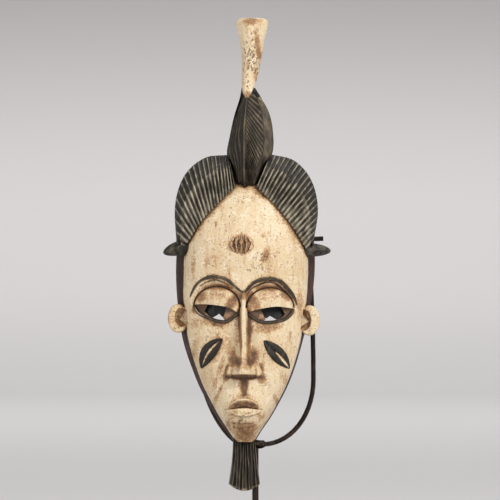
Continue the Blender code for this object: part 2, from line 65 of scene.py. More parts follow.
# ---- The block: face, walls and the finish they carry ----
# One piece of light wood, carved to a domed oval face with straight walls behind its edge. The
# face has thick cream paint, rubbed and pitted, and the walls show dark oiled wood.
MILLIMETRE = 0.001
MASK_ASIDE = -0.005
RIM_PLANE = 0.003
BEARD_TIP = 0.034
CHIN = 24.6
BROW_TOP = 165.0
WALL = 4.5
RIM_LEFT = [(24, 5.7), (30, 10.1), (38, 15.6), (46, 20.0), (55, 24.4), (75, 31.3), (95, 34.2),
            (112, 34.9), (128, 33.8), (142, 31.0), (153, 25.0), (160, 17.5), (165, 7.0)]
RIM_RIGHT = [(24, 4.6), (30, 8.2), (38, 13.6), (55, 22.4), (75, 28.8), (95, 33.2), (112, 34.9),
             (128, 34.2), (142, 31.6), (153, 25.4), (160, 17.5), (165, 7.0)]
LEAN_LEFT = [(24, 1.4), (38, 2.2), (55, 2.4), (75, 3.0), (95, 3.4), (112, 4.3), (165, 3.6)]
LEAN_RIGHT = [(24, 0.7), (55, 1.1), (75, 1.3), (95, 2.8), (112, 3.6), (165, 3.4)]
WALL_DEPTH = [(24, 6.0), (45, 7.5), (75, 9.0), (165, 9.0)]
PROFILE = [(24, 12.5), (30, 17.5), (37, 20.5), (50, 22.5), (70, 24.5), (90, 26.0), (108, 28.2),
           (122, 29.6), (136, 28.2), (146, 25.0), (153, 21.5), (160, 16.5), (165, 12.0)]


def finely(count):
    """The number of sections, as given."""
    return count


def through(points, at):
    """Read a smooth curve of (key, value) points at one key."""
    at = min(max(at, points[0][0]), points[-1][0])
    index = 0
    while index < len(points) - 2 and at > points[index + 1][0]:
        index += 1
    (x0, y0), (x1, y1) = points[index], points[index + 1]
    slopes = []
    for middle in (index, index + 1):
        before, after = points[max(middle - 1, 0)], points[min(middle + 1, len(points) - 1)]
        slopes.append((after[1] - before[1]) / (after[0] - before[0]))
    span = x1 - x0
    t = (at - x0) / span
    bend = t * (1 - t) ** 2 * slopes[0] * span + t * t * (t - 1) * slopes[1] * span
    return y0 * (1 + 2 * t) * (1 - t) ** 2 + y1 * t * t * (3 - 2 * t) + bend


def along(points, t):
    """Read a smooth line through (across, height) points, t from 0 to 1."""
    key = t * (len(points) - 1)
    return Vector((through([(i, p[0]) for i, p in enumerate(points)], key),
                   through([(i, p[1]) for i, p in enumerate(points)], key)))


def steps(count):
    """Fractions from 0 to 1 in equal steps."""
    return [i / count for i in range(count + 1)]


def ease(low, high, value):
    """Rise smoothly from 0 at low to 1 at high."""
    t = min(max((value - low) / (high - low), 0), 1)
    return t * t * (3 - 2 * t)


@lru_cache(maxsize=None)
def level(height):
    """Rim, edge of the painted face, wall depth and middle depth at one height."""
    left, right = -through(RIM_LEFT, height), through(RIM_RIGHT, height)
    return (left, right, left + through(LEAN_LEFT, height), right - through(LEAN_RIGHT, height),
            through(WALL_DEPTH, height), through(PROFILE, height))


def knife(across, height, size=4.0, depth=0.16):
    """The slight unevenness that the carver's knife left."""
    return depth * noise.noise(Vector((across / size, 7.3, height / size * 0.7)))


def face_depth(across, height):
    """Depth of the face at a point, with eye sockets, muzzle, cheeks and the crease of the chin."""
    _, _, left, right, wall, crown = level(height)
    share = min(abs(across - (left + right) / 2) / ((right - left) / 2), 1)
    swell = 0
    for middle in (-15.0, 12.6):
        reach = math.hypot((across - middle) / 13.5, (height - 96) / 11.5)
        swell -= 2.0 * (1 - ease(0.55, 1.0, reach)) * ease(74, 92, height)
    swell += 1.8 * math.exp(-(((across + 0.7) / 11) ** 2) - ((height - 42) / 9) ** 2)
    crease = 31.4 + 0.022 * (across + 1.5) ** 2
    swell -= 0.45 * math.exp(-(((height - crease) / 0.5) ** 2)) * (1 - ease(5, 8.5, abs(across + 1.5)))
    dome = (crown - wall) * (1 - share * share) ** 0.46
    return wall + dome + (swell + knife(across, height)) * (1 - share ** 6)


def place(across, depth, height):
    """A carved point in the world."""
    return (MASK_ASIDE + across * MILLIMETRE, RIM_PLANE - depth * MILLIMETRE,
            BEARD_TIP + height * MILLIMETRE)


def loft(name, rings, finish, painted=None, rubbed=None):
    """A closed solid through equal rings of carved points. Each vertex keeps how fully it is painted
    and how far its ridge is rubbed, and a comb coordinate: round its ring and along the rings."""
    around, count = len(rings[0]), len(rings)
    spots = [place(*point) for ring in rings for point in ring]
    for ring in (rings[0], rings[-1]):
        spots.append(place(*(sum(point[axis] for point in ring) / around for axis in range(3))))
    faces = []
    for r in range(count - 1):
        for i in range(around):
            a, b = r * around + i, r * around + (i + 1) % around
            faces += [(a, b, b + around), (a, b + around, a + around)]
    last = (count - 1) * around
    for i in range(around):
        j = (i + 1) % around
        faces += [(j, i, count * around), (last + i, last + j, count * around + 1)]
    corners = np.array(spots)[np.array(faces)]
    if np.einsum("ij,ij->i", corners[:, 0], np.cross(corners[:, 1], corners[:, 2])).sum() < 0:
        faces = [face[::-1] for face in faces]
    mesh = bpy.data.meshes.new(name)
    mesh.from_pydata(spots, [], faces)
    mesh.materials.append(finish)
    order = [corner for face in faces for corner in face]
    comb = [(i / around, r / count) for r in range(count) for i in range(around)] + [(0, 0), (0, 1)]
    layer = mesh.uv_layers.new(name="comb")
    layer.data.foreach_set("uv", [value for corner in order for value in comb[corner]])
    for mark, values, plain in (("painted", painted, 1.0), ("rubbed", rubbed, 0.0)):
        values = list(values) + [0, 0] if values else [plain] * len(spots)
        layer = mesh.attributes.new(mark, "FLOAT", "CORNER")
        layer.data.foreach_set("value", [values[corner] for corner in order])
    form = bpy.data.objects.new(name, mesh)
    bpy.context.collection.objects.link(form)
    return form


def colour(red, green, blue):
    """A colour of the picture, 0 to 255, as light."""
    tones = (red, green, blue)
    return tuple(((c / 255 + 0.055) / 1.055) ** 2.4 if c > 10 else c / 3295 for c in tones) + (1,)


class Finish:
    """A finish laid on in coats, on one shader and on the piece's own coordinates."""

    def __init__(self, name, roughness, metallic=0.0):
        self.material = bpy.data.materials.new(name)
        self.material.use_nodes = True
        self.nodes = self.material.node_tree.nodes
        self.links = self.material.node_tree.links
        self.shader = self.nodes["Principled BSDF"]
        self.shader.inputs["Roughness"].default_value = roughness
        self.shader.inputs["Metallic"].default_value = metallic
        self.spot = self.nodes.new("ShaderNodeTexCoord").outputs["Object"]
        self.coat = None

    def put(self, socket, value):
        if isinstance(value, bpy.types.NodeSocket):
            self.links.new(value, socket)
        else:
            socket.default_value = value

    def sum(self, operation, first, second=0.0, third=0.0):
        node = self.nodes.new("ShaderNodeMath")
        node.operation = operation
        for socket, value in zip(node.inputs, (first, second, third)):
            self.put(socket, value)
        return node.outputs[0]

    def rise(self, value, low, high, bottom=0.0, top=1.0):
        """Go smoothly from bottom to top as a value goes from low to high."""
        node = self.nodes.new("ShaderNodeMapRange")
        node.interpolation_type = "SMOOTHSTEP"
        for key, entry in zip((0, 1, 2, 3, 4), (value, low, high, bottom, top)):
            self.put(node.inputs[key], entry)
        return node.outputs[0]

    def grain(self, scale, stretch=(1, 1, 1), detail=3.0, rough=0.55, where=None, shift=(0, 0, 0)):
        """Cloudy noise with a number of clouds to the metre, drawn out along an axis."""
        mapping = self.nodes.new("ShaderNodeMapping")
        mapping.inputs["Scale"].default_value = stretch
        mapping.inputs["Location"].default_value = shift
        self.links.new(where or self.spot, mapping.inputs["Vector"])
        node = self.nodes.new("ShaderNodeTexNoise")
        self.links.new(mapping.outputs[0], node.inputs["Vector"])
        node.inputs["Scale"].default_value = scale
        node.inputs["Detail"].default_value = detail
        node.inputs["Roughness"].default_value = rough
        return node.outputs[0]

    def felt(self, name):
        """A value that the carving keeps at each point: a mark of age, or how much painted shade or
        highlight it takes.
        """
        node = self.nodes.new("ShaderNodeAttribute")
        node.attribute_name = name
        return node.outputs["Fac"]

    def lay(self, tone, share=None):
        """Lay a coat over what is there, where its share is 1."""
        if self.coat is None:
            self.coat = tone
            return
        node = self.nodes.new("ShaderNodeMix")
        node.data_type = "RGBA"
        sockets = [s for s in node.inputs if s.type == "RGBA"]
        self.put(node.inputs[0], share)
        self.put(sockets[0], self.coat)
        self.put(sockets[1], tone)
        self.coat = [s for s in node.outputs if s.type == "RGBA"][0]

    def close(self, gloss, height, depth):
        """Join the coats, the gloss and the unevenness to the shader."""
        self.put(self.shader.inputs["Base Color"], self.coat)
        self.put(self.shader.inputs["Roughness"], gloss)
        bump = self.nodes.new("ShaderNodeBump")
        bump.inputs["Distance"].default_value = depth
        self.put(bump.inputs["Height"], height)
        self.links.new(bump.outputs[0], self.shader.inputs["Normal"])
        return self.material


def cream_paint(name, grime_and_shade=0.0, shade=1.0):
    """Thick cream paint over dark wood: yellowed in clouds, drawn down in streaks, speckled and browned
    by grime that hands and years left and by painted shade in the hollows, lightened on edges as
    painted highlight and wear, and pitted through in places."""
    coat = Finish(name, 0.45)
    clouds = coat.grain(34, detail=4)
    small = coat.grain(240, detail=5, rough=0.62)
    fine = coat.grain(1150, detail=4, rough=0.65)
    streaks = coat.grain(300, stretch=(1, 1, 0.2), detail=4, rough=0.6)
    ticks = coat.grain(640, stretch=(1, 1, 0.3), detail=3, rough=0.6, shift=(0.2, 0, 0.4))
    hollow_shade_and_grime, edge = coat.felt("hollow_shade_and_grime"), coat.felt("edge")
    coat.lay(colour(*[c * shade for c in (226, 206, 171)]))
    coat.lay(colour(*[c * shade for c in (210, 181, 138)]), coat.rise(clouds, 0.42, 0.70, 0.0, 0.7))
    coat.lay(colour(*[c * shade for c in (240, 228, 204)]), coat.rise(small, 0.48, 0.66, 0.0, 0.75))
    coat.lay(colour(*[c * shade for c in (188, 152, 108)]), coat.rise(streaks, 0.52, 0.68, 0.0, 0.42))
    coat.lay(colour(*[c * shade for c in (178, 144, 104)]), coat.rise(fine, 0.52, 0.68, 0.0, 0.62))
    coat.lay(colour(150, 110, 72), coat.rise(ticks, 0.62, 0.72, 0.0, 0.7))
    # Brown laid in the hollows, in the marked ovals and as much more as the part asks: grime, and painted
    # shade.
    amount = coat.sum("MULTIPLY_ADD", hollow_shade_and_grime, 1.05, grime_and_shade)
    amount = coat.sum("MULTIPLY_ADD", coat.rise(clouds, 0.45, 0.75), 0.22, amount)
    amount = coat.sum("ADD", amount, coat.felt("stain_and_shade"))
    speckle = coat.sum("MULTIPLY_ADD", fine, 0.5, coat.sum("MULTIPLY", small, 0.5))
    speckle = coat.sum("MULTIPLY_ADD", streaks, 0.16, speckle)
    dusk = coat.sum("MULTIPLY_ADD", amount, 0.34, speckle)
    coat.lay(colour(188, 146, 98), coat.rise(dusk, 0.62, 0.74, 0.0, 0.7))
    coat.lay(colour(140, 100, 65), coat.rise(dusk, 0.71, 0.85, 0.0, 0.85))
    coat.lay(colour(86, 60, 43), coat.rise(dusk, 0.86, 1.02, 0.0, 0.9))
    crowd = coat.rise(clouds, 0.42, 0.66, 0.0, 0.05)
    crowd = coat.sum("MULTIPLY_ADD", coat.felt("pitting"), 0.11, crowd)
    holes = coat.grain(820, stretch=(1, 1, 0.7), detail=3, rough=0.75, shift=(0.31, 0, 0.12))
    pits = coat.rise(coat.sum("ADD", holes, crowd), 0.675, 0.73)
    coat.lay(colour(98, 72, 50), coat.sum("MULTIPLY", pits, 0.8))
    # Painted highlight, with some rubbing: lighter cream on the sharp edges.
    highlight_and_wear = coat.rise(coat.sum("MULTIPLY_ADD", small, 0.5, edge), 0.78, 1.05)
    coat.lay(colour(*[c * shade for c in (240, 224, 194)]), coat.sum("MULTIPLY", highlight_and_wear, 0.7))
    hold = coat.sum("ADD", coat.felt("painted"), coat.sum("MULTIPLY_ADD", small, 0.9, -0.45))
    walls = coat.rise(hold, 0.62, 0.52)
    wall_grain = coat.grain(520, stretch=(1, 1, 0.06), detail=4, rough=0.6)
    coat.lay(colour(46, 28, 22), walls)
    coat.lay(colour(84, 54, 42), coat.sum("MULTIPLY", walls, coat.rise(wall_grain, 0.45, 0.62, 0.0, 0.7)))
    mottle = coat.sum("MULTIPLY_ADD", dusk, 0.5, coat.sum("MULTIPLY", small, 0.5))
    gloss = coat.rise(mottle, 0.45, 0.75, 0.32, 0.62)
    gloss = coat.sum("MULTIPLY_ADD", walls, 0.3, gloss)
    height = coat.sum("MULTIPLY_ADD", fine, 0.25, coat.sum("MULTIPLY", small, 0.55))
    height = coat.sum("MULTIPLY_ADD", pits, -0.5, height)
    height = coat.sum("MULTIPLY_ADD", coat.rise(dusk, 0.68, 0.85), -0.18, height)
    return coat.close(gloss, height, 0.00055)


def bare_wood(name, tone, deep):
    """Unpainted wood with its grain upright, darker in its hollows as painted shade."""
    coat = Finish(name, 0.6)
    strands = coat.grain(420, stretch=(1, 1, 0.08), detail=4, rough=0.6)
    clouds = coat.grain(60, detail=3)
    coat.lay(colour(*tone))
    coat.lay(colour(*deep), coat.rise(strands, 0.42, 0.66, 0.0, 0.9))
    coat.lay(colour(*deep), coat.rise(clouds, 0.45, 0.7, 0.0, 0.6))
    # Painted shade: darker where the wood is hollow.
    coat.lay(colour(*[c * 0.5 for c in deep]), coat.rise(coat.felt("hollow_shade_and_grime"), 0.3, 0.9, 0.0, 0.6))
    return coat.close(coat.rise(clouds, 0.3, 0.7, 0.5, 0.7), strands, 0.0004)


face_paint = cream_paint("face_paint")
inner_wood = bare_wood("inner_wood", (112, 84, 60), (74, 54, 40))

wall_steps = steps(finely(8))
paint_at = [0.0] + [0.0 if share < 0.92 else 0.75 for share in wall_steps[:-1]]
rings = []
for t in steps(finely(180)):
    height = CHIN + t * (BROW_TOP - CHIN)
    rim_left, rim_right, left, right, wall, _ = level(height)
    middle, half = (left + right) / 2, (right - left) / 2
    ring = [(rim_left, -1, height)]
    ring += [(rim_left + (left - rim_left) * s, 0.2 + (wall - 0.2) * s, height) for s in wall_steps[:-1]]
    for turn in steps(finely(104)):
        across = middle - half * math.cos(math.pi * turn)
        ring.append((across, face_depth(across, height), height))
    ring += [(right + (rim_right - right) * s, wall + (0.2 - wall) * s, height) for s in wall_steps[1:]]
    ring.append((rim_right, -1, height))
    rings.append(ring)
paint_at += [1.0] * (finely(104) + 1) + paint_at[::-1]
mask = loft("mask_carving", rings, face_paint, paint_at * len(rings))


def carve(form, operation="UNION"):
    """Join a closed form to the mask, or cut it away. The exact solver leaves edges open here."""
    bpy.context.view_layer.objects.active = mask
    bpy.ops.object.modifier_add(type="BOOLEAN")
    step = mask.modifiers[-1]
    step.object = form
    step.operation = operation
    step.solver = "MANIFOLD"
    step.material_mode = "TRANSFER"
    bpy.ops.object.modifier_apply(modifier=step.name)
    bpy.data.objects.remove(form)


def band(name, line, half_width, profile, count, finish, buried=2.5, uneven=0.0):
    """A band that follows a line on the face, with a smooth (share across, height above) profile."""
    shares = [low[0] + (high[0] - low[0]) * s for low, high in zip(profile, profile[1:])
              for s in steps(3)[:-1]] + [profile[-1][0]]
    rings = []
    for t in steps(finely(count)):
        spot = line(t)
        onward = line(min(t + 0.01, 1)) - line(max(t - 0.01, 0))
        width = half_width(t) * (1 + uneven * noise.noise(Vector((spot.x, spot.y, 1.7)) * 0.9))
        sideways = Vector((-onward.y, onward.x)).normalized() * max(width, 0.12)
        fade = min(half_width(t) / half_width(0.5), 1)
        points = [spot + sideways * share for share in shares]
        ring = [(p.x, face_depth(p.x, p.y) + through(profile, share) * fade, p.y)
                for p, share in zip(points, shares)]
        ring += [(p.x, face_depth(p.x, p.y) - buried, p.y) for p in (points[-1], points[0])]
        rings.append(ring)
    return loft(name, rings, finish)


# ---- Hair ----
# Two round lobes of combed hair and a pointed tuft below each, cut with a V gouge into the same
# block and blackened. The ridges are rubbed grey and brown, lightest on top as painted highlight
# and wear, the grooves are darkened as painted shade, and the outer third slopes back.
LOBES = {"left": ([(-5.2, 152.0), (-14.0, 143.6), (-22.6, 134.0), (-29.6, 122.6)],
                  [(-8.4, 168.6), (-20.5, 167.0), (-30.6, 158.2), (-35.3, 143.4), (-34.6, 124.0)], 1.5, 19),
         "right": ([(5.6, 152.0), (14.6, 143.4), (23.4, 132.4), (31.0, 119.6)],
                   [(12.6, 168.9), (24.6, 165.6), (33.2, 155.6), (36.4, 141.0), (33.9, 123.4)], 1.0, 20)}
TUFTS = {"left": (-1, (-41.2, 119.6), 126.4, 118.0), "right": (1, (42.8, 120.4), 124.6, 117.2)}
# Shares of a ridge's length at which it is shaped, closest where the lobe breaks to its slope
COMB_SHARES = (0.0, 0.025, 0.05, 0.08, 0.14, 0.2, 0.27, 0.34, 0.41, 0.48, 0.54, 0.59, 0.63, 0.66, 0.69, 0.74,
               0.8, 0.86, 0.92, 0.96, 1.0)


def blackened(name, tone, rub, highlight_and_wear, wear=0.0):
    """Wood dyed black and rubbed back to grey and brown on its ridges, brightest on the ridge tops as
    painted highlight and wear, and blacker still in its hollows as painted shade.
    """
    coat = Finish(name, 0.5)
    coat.shader.inputs["Specular IOR Level"].default_value = 0.28
    small = coat.grain(380, stretch=(1, 1, 0.5), detail=4, rough=0.62)
    fine = coat.grain(1500, detail=4, rough=0.65)
    clouds = coat.grain(70, detail=3)
    keen = coat.sum("MULTIPLY_ADD", coat.felt("edge"), 1.5, -0.35)
    ridge = coat.sum("MAXIMUM", coat.felt("rubbed"), keen)
    ridge = coat.sum("MULTIPLY_ADD", clouds, 0.6, coat.sum("ADD", ridge, wear - 0.3))
    worn = coat.sum("MULTIPLY_ADD", small, 1.1, coat.sum("ADD", ridge, -0.55))
    coat.lay(colour(*tone))
    coat.lay(colour(*[c * 1.6 for c in tone]), coat.rise(small, 0.45, 0.68, 0.0, 0.7))
    coat.lay(colour(*rub), coat.rise(worn, 0.25, 0.85, 0.0, 0.85))
    # Painted highlight, with wear: the brightest colour on the most rubbed ridge tops.
    coat.lay(colour(*highlight_and_wear), coat.rise(coat.sum("MULTIPLY_ADD", fine, 1.0, worn), 1.2, 1.6, 0.0, 0.85))
    # Painted shade: the black goes darker still in the hollows.
    coat.lay(colour(*[c * 0.35 for c in tone]), coat.rise(coat.felt("hollow_shade_and_grime"), 0.22, 0.6, 0.0, 0.9))
    height = coat.sum("MULTIPLY_ADD", fine, 0.4, coat.sum("MULTIPLY", small, 0.6))
    return coat.close(coat.rise(small, 0.35, 0.7, 0.42, 0.66), height, 0.0005)


hair_black = blackened("hair_black", (38, 35, 29), (134, 125, 108), (184, 174, 152), 0.1)
# The tufts' near-cream top colour and wide wear paint highlights on their ridges and tips, besides rubbing.
tuft_black = blackened("tuft_black", (28, 26, 21), (122, 114, 98), (206, 196, 176), 0.38)

for side, (hairline, outline, sweep, ridges) in LOBES.items():
    rings, rubbed = [], []
    for t in steps(finely(10) * ridges):
        inner, outer = along(hairline, t), along(outline, t ** sweep)
        groove = abs(math.sin(math.pi * t * ridges)) ** 1.3
        foot = face_depth(inner.x, inner.y)
        crown = foot + 2.6
        slope = [(0.0, foot + 1.6), (0.07, crown), (0.36, crown + 0.6), (0.66, crown - 1.2), (0.88, 15.5),
                 (1.0, 10.5)]
        ring = [(inner.x, -1, inner.y)]
        rubbed.append(0)
        for share in COMB_SHARES:
            depth = through(slope, share) + 0.45 * ease(0.60, 0.655, share) * (1 - ease(0.665, 0.70, share))
            wide = inner.lerp(outer, share * (1 - groove * 0.004))
            deep = 0.45 + 0.5 * ease(0.0, 0.25, share) + 0.25 * ease(0.66, 0.8, share)
            cut = groove * deep * (1 + 0.4 * noise.noise(Vector((t * 40, share * 3, 2))))
            ring.append((wide.x, depth - cut + knife(wide.x, wide.y, 3.0, 0.2), wide.y))
            outside = ease(0.62, 0.70, share)
            broken = 0.96 + 0.6 * noise.noise(Vector((t * 55, share * 6, 7)))
            ridge_top = (1 - groove) ** (0.8 + 1.6 * outside) * (0.66 + 0.12 * outside)
            rubbed.append((0.22 * (1 - outside) + ridge_top) * broken)
        edge = inner.lerp(outer, 1 - groove * 0.004)
        ring += [(edge.x, 8.0 - groove * 0.5, edge.y), (edge.x, 4.0, edge.y), (edge.x, -1, edge.y)]
        rubbed += [0, 0, 0]
        rings.append(ring)
    carve(loft(f"lobe_{side}", rings, hair_black, rubbed=rubbed))

for name, (side, tip, top, bottom) in TUFTS.items():
    rings = []
    for t in steps(finely(30)):
        swell = math.sqrt(max(1 - t ** 2.2, 0.0036))
        across = side * (27 + t * (abs(tip[0]) - 27))
        middle = (top + bottom) / 2 + (tip[1] - (top + bottom) / 2) * t * t
        ring = []
        for turn in range(28):
            angle = math.tau * turn / 28
            keel = 1 + 0.10 * math.cos(2 * angle) + 0.05 * noise.noise(Vector((across / 3, angle, 4)))
            ring.append((across, 11.5 + 4.8 * swell * keel * math.cos(angle),
                         middle + (top - bottom) / 2 * swell * math.sin(angle)))
        rings.append(ring)
    carve(loft(f"tuft_{name}", rings, tuft_black))

# ---- Crest ----
# A leaf of combed hair that stands over the forehead: a worn keel down its front, fine slanting
# lines on the right face, upright ones on the left, and a smooth flank on the far right.
CREST_LEFT = [(152, 5.4), (160, 6.4), (168.5, 9.2), (176, 8.2), (188, 5.6), (196, 3.1), (201, 2.0)]
CREST_RIGHT = [(152, 5.8), (162, 9.8), (170, 13.7), (182, 13.6), (190, 11.7), (196, 8.6), (202, 4.9)]
KEEL_FRONT = [(152, 22.5), (158, 28.0), (172, 30.5), (186, 27.5), (196, 21.0), (202, 15.5)]
KEEL_ASIDE = [(152, -0.5), (180, -0.5), (202, 1.2)]
CREST_LINES = 24
crest_black = blackened("crest_black", (38, 33, 27), (108, 96, 79), (158, 142, 114), 0.04)

rings, rubbed = [], []
for t in steps(finely(6) * CREST_LINES):
    keel = 157.4 + t * (201.5 - 157.4)
    side = 153.0 + (0.15 * t + 0.85 * t ** 2.6) * (202.0 - 153.0)
    slant = keel - side
    groove = abs(math.sin(math.pi * t * CREST_LINES)) ** 1.3
    front, axis = through(KEEL_FRONT, keel), through(KEEL_ASIDE, keel)
    left, right = through(CREST_LEFT, side), through(CREST_RIGHT, side)
    back = 6 + 6 * ease(165, 200, side)
    far_right = axis + (right - axis) * 0.68
    to_right, to_left, flank = right - axis, left + axis, front - 5.6
    corners = [(axis, front, keel, 0), (axis + 0.07 * to_right, front - 0.3, keel - 0.10 * slant, 0.6),
               (axis + 0.2 * to_right, front - 1.4, keel - 0.3 * slant, 1),
               (axis + 0.5 * to_right, front - 3.8, keel - 0.75 * slant, 1),
               (axis + 0.62 * to_right, front - 5.0, keel - 0.93 * slant, 0.6),
               (far_right, flank, side, 0), (axis + 0.9 * to_right, flank * 0.8 + back * 0.2, side, 0),
               (right, (flank + back) / 2, side, 0), (far_right, back, side, 0),
               (-0.7 * left, back, side, 0), (-left, (flank + back) / 2, side, 0),
               (axis - 0.85 * to_left, front - 8.2, keel - 0.95 * slant, 0),
               (axis - 0.55 * to_left, front - 4.6, keel - 0.7 * slant, 0),
               (axis - 0.12 * to_left, front - 0.5, keel - 0.12 * slant, 0)]
    ring = []
    for index, low in enumerate(corners):
        high = corners[(index + 1) % len(corners)]
        on_left, on_right, on_flank = index in (10, 11, 12), index < 5, index in (5, 6)
        for s in steps(9 if on_left else 5)[:-1]:
            x, d, z, cut = (a + (b - a) * s for a, b in zip(low, high))
            if on_left:
                waver = 0.5 * noise.noise(Vector((z / 9, x, 3)))
                strand = abs(math.sin(math.pi * 6 * (index - 10 + s) / 3 + waver))
                d -= 0.6 * strand
                rubbed.append(0.75 * (1 - strand) ** 1.2)
            elif on_right:
                d -= 0.6 * groove * cut * (1 + 0.4 * noise.noise(Vector((t * 40, index + s, 2))))
                high_up = 0.45 + 0.55 * ease(0.02, 0.4, t)
                ridge_top = 0.7 * (1 - groove) ** 0.8 * min(cut + 0.3, 1) * high_up
                rubbed.append(ridge_top if cut or index else 0.9)
            else:
                rubbed.append(0.7 if index == 13 and s > 0.5 else 0.5 if on_flank else 0.0)
            ring.append((x, d + knife(x, z, 2.6, 0.18), z))
    rings.append(ring)
foot = [(x * 0.7, max(d - 5, 6), 151.8) for x, d, _ in rings[0]]
carve(loft("crest", [foot] + rings, crest_black, rubbed=[0.3] * len(foot) + rubbed))

# ---- Horn ----
# A flared horn with a domed end, carved on the crest's tip and painted cream. The paint is
# pitted all over and brown round the foot, with painted shade along the cap and down the right side.
HORN_RADIUS = [(202, 2.9), (204.5, 3.6), (215.5, 4.8), (226, 6.3), (232, 7.9), (234.4, 8.3)]
HORN_AXIS = [(202, 1.2), (204.5, 1.7), (215.5, 3.0), (226, 3.3), (234.4, 3.3)]
HORN_FOOT = [(196.6, (0.8, 19.2, 0.5)), (199.0, (0.9, 17.6, 2.0)), (202.0, (1.2, 15.4, 2.9)),
             (205.0, (1.76, 14, 3.65))]
horn_paint = cream_paint("horn_paint", grime_and_shade=0.02)
rings = []
for height in [196.6 + 35.8 * s for s in steps(finely(64))]:
    if height < 205:
        across, depth, wide = (through([(key, value[axis]) for key, value in HORN_FOOT], height)
                               for axis in range(3))
    else:
        across, depth, wide = through(HORN_AXIS, height), 14, through(HORN_RADIUS, height)
    rings.append((across, depth, height, wide))
for turn in steps(finely(10)):
    angle = math.pi / 2 * turn
    rings.append((3.3, 14, 234.2 + 2.8 * math.sin(angle) ** 0.8, 0.4 + 7.9 * math.cos(angle) ** 0.55))
mill = []
for across, depth, height, wide in rings:
    ring = []
    for turn in range(48):
        angle = math.tau * turn / 48
        ridge = 1 + 0.05 * math.exp(-((math.sin((angle - 4.2) / 2) / 0.16) ** 2))
        rough = 1 + 0.05 * noise.noise(Vector((math.cos(angle) * 1.3, math.sin(angle) * 1.3, height / 5)))
        ring.append((across + wide * math.cos(angle),
                     depth + wide * ridge * rough * math.sin(angle - math.pi), height))
    mill.append(ring)
carve(loft("horn", mill, horn_paint))

# ---- Beard ----
# A short plaited beard below the chin, cut in the round with coarse uneven grooves and left
# dark brown. It flares to its end, where the strands are cut off straight.
BEARD_LEFT = [(1, -8.3), (3, -8.4), (14, -6.9), (CHIN + 4, -6.0)]
BEARD_RIGHT = [(1, 7.2), (3, 7.3), (14, 6.0), (CHIN + 4, 4.6)]
BEARD_BACK = 5.2
beard_brown = blackened("beard_brown", (44, 39, 31), (110, 99, 82), (150, 136, 112), 0.08)
rings, rubbed = [], []
for t in steps(finely(48)):
    height = t * (CHIN + 4)
    left, right = through(BEARD_LEFT, height), through(BEARD_RIGHT, height)
    front = 9.6 + 0.04 * height
    corner = 3.2 * (1 - ease(0, 3.5, height))
    ring = [(left, BEARD_BACK, height + corner), (left, BEARD_BACK + 1.6, height + corner)]
    rubbed += [0, 0]
    for s in steps(finely(84)):
        across = left + (0.02 + 0.96 * s) * (right - left)
        strand = s * 9 + 0.35 * noise.noise(Vector((s * 4, height / 9, 5)))
        cut = abs(math.sin(math.pi * strand)) ** 1.2
        groove = 0.95 * cut * (0.75 + 0.5 * noise.noise(Vector((strand, height / 6, 9))))
        rubbed.append(0.7 * (1 - cut) ** 1.4)
        bow = 1.4 * math.sin(math.pi * s) ** 0.6
        ring.append((across, front - 1.4 + bow - max(groove, 0), height + corner * (2 * s - 1) ** 2))
    ring += [(right, BEARD_BACK + 1.6, height + corner), (right, BEARD_BACK, height + corner)]
    rubbed += [0, 0]
    rings.append(ring)
carve(loft("beard", rings, beard_brown, rubbed=rubbed))

# ---- Nose and mouth ----
# A long thin nose with a sharp ridge and small spread wings, a groove below it, and closed
# lips with a light rim. The paint is rubbed light on the ridge, with a painted highlight there,
# and brown beside it as painted shade with some grime.
NOSE_RIDGE = [(57.6, 30.3), (59.2, 31.7), (62, 31.9), (75, 31.2), (90, 30.0), (97, 28.7), (100, 26.8)]
NOSE_TOP = [(57.6, 2.2), (59.5, 2.2), (62, 1.6), (66, 1.25), (75, 0.95), (100, 0.8)]
NOSE_FOOT = [(57.6, 8.5), (59, 9.1), (61.5, 8.9), (64.5, 7.4), (69, 5.2), (77, 3.4), (90, 2.4), (100, 1.5)]
NOSE_AXIS = -0.8
OUTSIDE = 60  # a depth well in front of the face, where cuts start
LIP_PROFILE = [(-1, -0.6), (-0.93, 1.7), (-0.84, 2.3), (-0.6, 1.9), (-0.3, 1.6), (-0.08, 1.2), (0, 0.0),
               (0.08, 0.7), (0.3, 1.3), (0.6, 1.8), (0.84, 2.2), (0.93, 1.6), (1, -0.6)]
rings = []
for t in steps(finely(96)):
    height = 57.6 + 42.4 * t ** 1.35
    front, top, side = (through(line, height) for line in (NOSE_RIDGE, NOSE_TOP, NOSE_FOOT))
    wing = 2.8 * ease(64.2, 61.6, height)
    half = {}
    for turn in (-1, 1):
        half[turn] = []
        for share in [-0.12] + steps(16) + [1.0]:
            across = NOSE_AXIS + turn * (side + (top - side) * share)
            base = face_depth(across, height)
            lump = wing * math.sin(math.pi * min(max(share, 0) / 0.62, 1)) ** 0.7
            half[turn].append((across, base + max(max(share, 0) ** 1.7 * (front - base), lump), height))
        x, d, z = half[turn][0]
        half[turn][0] = (x, d - 3, z)
        half[turn][-1] = (NOSE_AXIS + turn * top * 0.45, front + 0.22, height)
    rings.append(half[-1] + half[1][::-1])
carve(loft("nose", rings, face_paint))
carve(band("lips", lambda t: Vector((-10.2 + 19.0 * t, 41.7 - 0.5 * math.cos(math.tau * t))),
           lambda t: 0.2 + 4.7 * math.sin(math.pi * t) ** 0.8, LIP_PROFILE, 80,
           cream_paint("lip_paint", grime_and_shade=0.05)))
rings = []
for t in steps(finely(24)):
    height = 57 - 9 * t
    half = 2.8 - 1.5 * t
    floor = face_depth(-0.5, height)
    trough = [(-0.5 + half * s, floor - 0.8 + 1.1 * s * s, height)
              for s in (-1, -0.7, -0.4, 0, 0.4, 0.7, 1)]
    rings.append(trough + [(-0.5 + half, OUTSIDE, height), (-0.5 - half, OUTSIDE, height)])
carve(loft("philtrum", rings, face_paint), "DIFFERENCE")

